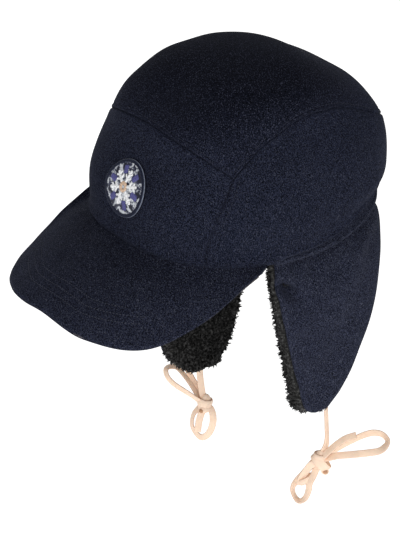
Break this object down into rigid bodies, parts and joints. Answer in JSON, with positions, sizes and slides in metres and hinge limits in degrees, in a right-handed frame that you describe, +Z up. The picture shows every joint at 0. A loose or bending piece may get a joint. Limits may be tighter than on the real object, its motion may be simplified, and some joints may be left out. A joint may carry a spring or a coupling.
{
  "type": "earflap cap",
  "caption": "Wool cap with a curved peak, panelled crown, round badge, pile-lined earflaps and leather lace ties in bows.",
  "frame": {"origin": "middle of the head opening, level with the lower edge of the crown at both sides, where the cap sits on a head", "axes": "+Z up out of the top of the cap, peak along -Y, the wearer's left along +X"},
  "size_m": [0.2056, 0.2772, 0.3426],
  "materials": {
    "wool_cloth": "matt brushed wool cloth, dark blue melange with a short fuzz",
    "wool_cloth_top": "matt brushed wool cloth, a little darker on the top panel",
    "wool_peak": "matt brushed wool cloth over a stiffener, with rows of tonal stitching",
    "wool_band": "matt wool cloth, folded edge",
    "pile": "curly black sherpa pile",
    "leather_lace": "natural vegetable-tanned leather, smooth, semi-matt, darker cut edges",
    "badge_edge": "satin-stitched dark blue edge with a thin silver-grey line",
    "badge_embroidery": "dense embroidery: navy ground, white and grey star pattern with peach and lilac touches"
  },
  "bodies": {
    "root": {"crown_front_panel": "wool_cloth", "crown_top_panel": "wool_cloth_top", "crown_side_panel_left": "wool_cloth", "crown_side_panel_right": "wool_cloth", "peak": "wool_peak", "rim_band": "wool_band", "earflap_shell_left": "wool_cloth", "earflap_shell_right": "wool_cloth", "earflap_lining_left": "pile", "earflap_lining_right": "pile", "badge_face": "badge_embroidery", "badge_rim": "badge_edge", "tie_left_knot": "leather_lace", "tie_left_strand": "leather_lace", "tie_left_bow_loop": "leather_lace", "tie_left_tail": "leather_lace", "tie_left_lower_loop": "leather_lace", "tie_left_lower_tail": "leather_lace", "tie_right_knot": "leather_lace", "tie_right_strand": "leather_lace", "tie_right_bow_loop": "leather_lace", "tie_right_tail": "leather_lace", "tie_right_lower_loop": "leather_lace", "tie_right_lower_tail": "leather_lace"}
  },
  "joints": []
}
